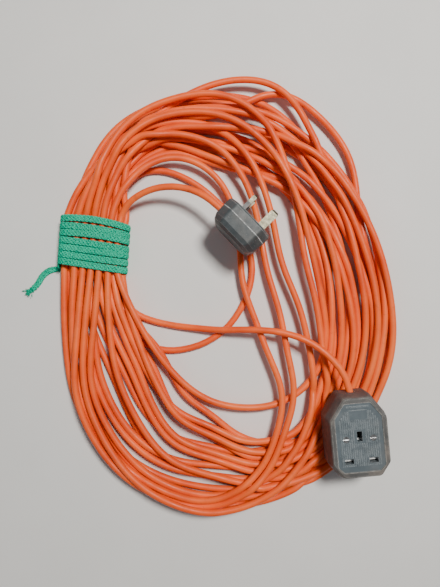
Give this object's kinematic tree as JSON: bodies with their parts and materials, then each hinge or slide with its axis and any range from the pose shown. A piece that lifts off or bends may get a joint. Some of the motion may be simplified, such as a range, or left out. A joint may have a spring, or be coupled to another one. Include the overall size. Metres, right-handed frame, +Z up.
{
  "type": "extension cord",
  "caption": "Extension lead: orange flexible cable wound in a loose tied hank, with a three-pin plug and a rubber trailing socket on its ends.",
  "frame": {"origin": "on the ground, under the middle of the box round the socket, the plug and the tie's wraps", "axes": "+Z up, off the ground and out of the socket's face; Y along the socket's long axis, +Y towards its cable end; +X completes the frame, towards the side where the wound turns fan out"},
  "size_m": [0.3653, 0.429, 0.063],
  "materials": {
    "cable_sheath": "orange PVC sheath, satin, lightly scuffed",
    "jacket_rubber": "black rubber, worn and dusty",
    "moulding_dark": "dark grey moulding, matt, fine ribs",
    "plug_body": "dark grey tough moulding, matt, scuffed edges",
    "shutter_grey": "light grey moulding",
    "insulation_black": "black sleeve",
    "brass": "brass, slightly tarnished",
    "steel": "zinc-plated steel",
    "fuse_ceramic": "glazed ceramic",
    "core_brown": "brown core insulation",
    "core_blue": "blue core insulation",
    "core_green": "green and yellow core insulation",
    "tie_cord": "green braided polypropylene cord"
  },
  "bodies": {
    "lead": {"plug_base": "plug_body", "plug_cover": "plug_body", "plug_earth_pin": "brass", "plug_live_pin": "brass", "plug_neutral_pin": "brass", "plug_pin_sleeves": "insulation_black", "plug_fuse_barrel": "fuse_ceramic", "plug_fuse_caps": "steel", "plug_fuse_clips": "brass", "plug_terminal_screws": "steel", "plug_cord_grip": "plug_body", "plug_cord_grip_screws": "steel", "plug_cover_screw": "steel", "plug_live_core": "core_brown", "plug_neutral_core": "core_blue", "plug_earth_core": "core_green", "socket_jacket": "jacket_rubber", "socket_front_plate": "moulding_dark", "socket_insert_rear": "moulding_dark", "socket_shutter_spring": "steel", "socket_terminal_screws": "steel", "socket_cover_screws": "steel", "socket_cord_clamp": "moulding_dark", "socket_cord_clamp_screws": "steel", "socket_live_contact": "brass", "socket_neutral_contact": "brass", "socket_earth_contact": "brass", "socket_live_core": "core_brown", "socket_neutral_core": "core_blue", "socket_earth_core": "core_green", "cable_hank": "cable_sheath", "cable_plug_lead": "cable_sheath", "cable_socket_lead": "cable_sheath", "cable_inner_turn": "cable_sheath", "tie_windings": "tie_cord", "tie_tail": "tie_cord"},
    "shutter": {"socket_shutter": "shutter_grey"}
  },
  "joints": [
    {"name": "shutter_slide", "type": "slide", "parent": "lead", "child": "shutter", "axis": [0, -1, 0], "range_m": [0, 0.006], "stiffness_N_per_m": 150, "springref_m": -0.004, "deforming": ["socket_shutter_spring"]}
  ]
}
